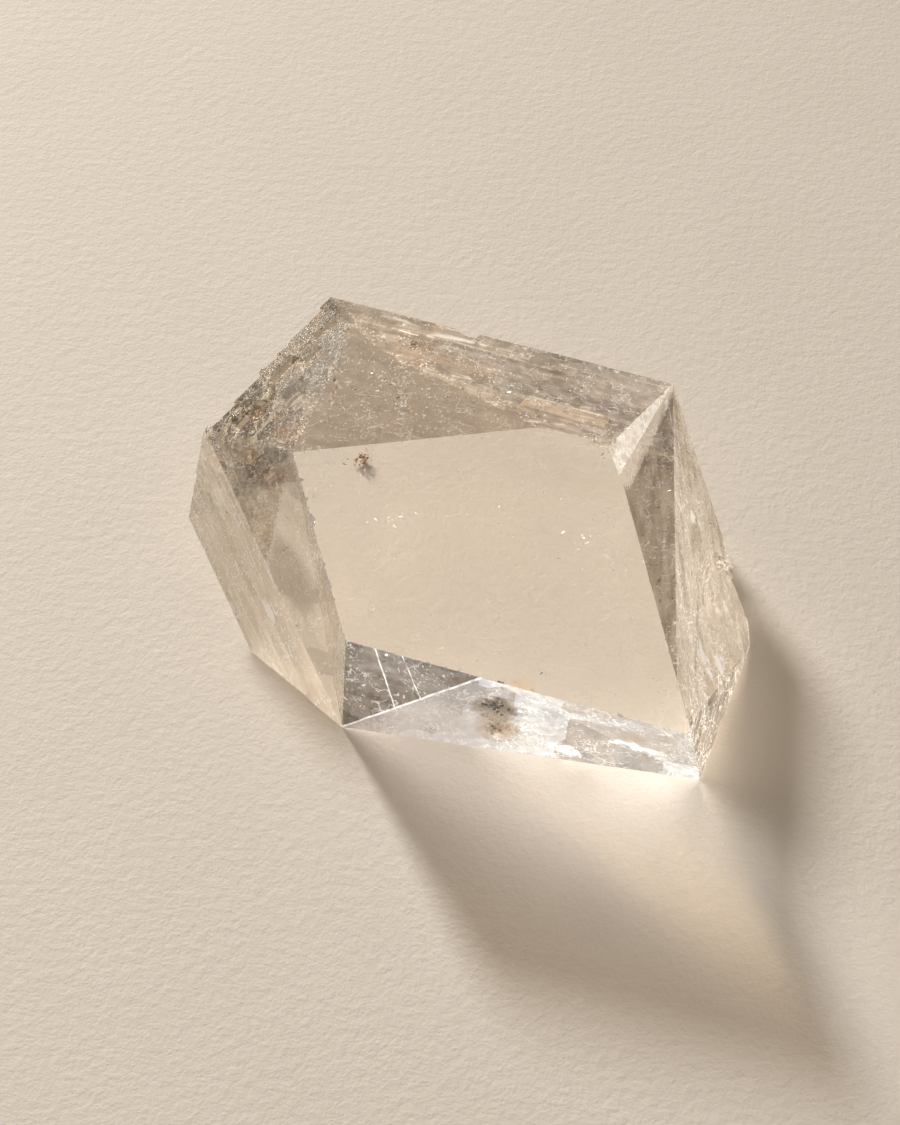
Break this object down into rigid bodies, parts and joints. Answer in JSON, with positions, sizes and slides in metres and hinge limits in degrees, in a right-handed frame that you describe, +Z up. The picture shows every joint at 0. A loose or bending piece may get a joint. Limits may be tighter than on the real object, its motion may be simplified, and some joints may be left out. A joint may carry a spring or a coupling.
{
  "type": "iceland spar crystal",
  "caption": "Clear calcite cleavage block with a level top, flat underside, leaning rough back walls, sloping flanks and chipped edges, lying on its base.",
  "frame": {"origin": "middle of the footprint's box, on the surface the crystal lies on", "axes": "+Z up through the thickness, +X along the longer top edges towards the right, +Y towards the back"},
  "size_m": [0.069, 0.0694, 0.016],
  "materials": {
    "calcite": "clear, near colourless with a faint warm tint; cleavage faces glossy, broken faces rough and stepped"
  },
  "bodies": {
    "root": {"crystal": "calcite"}
  },
  "joints": []
}
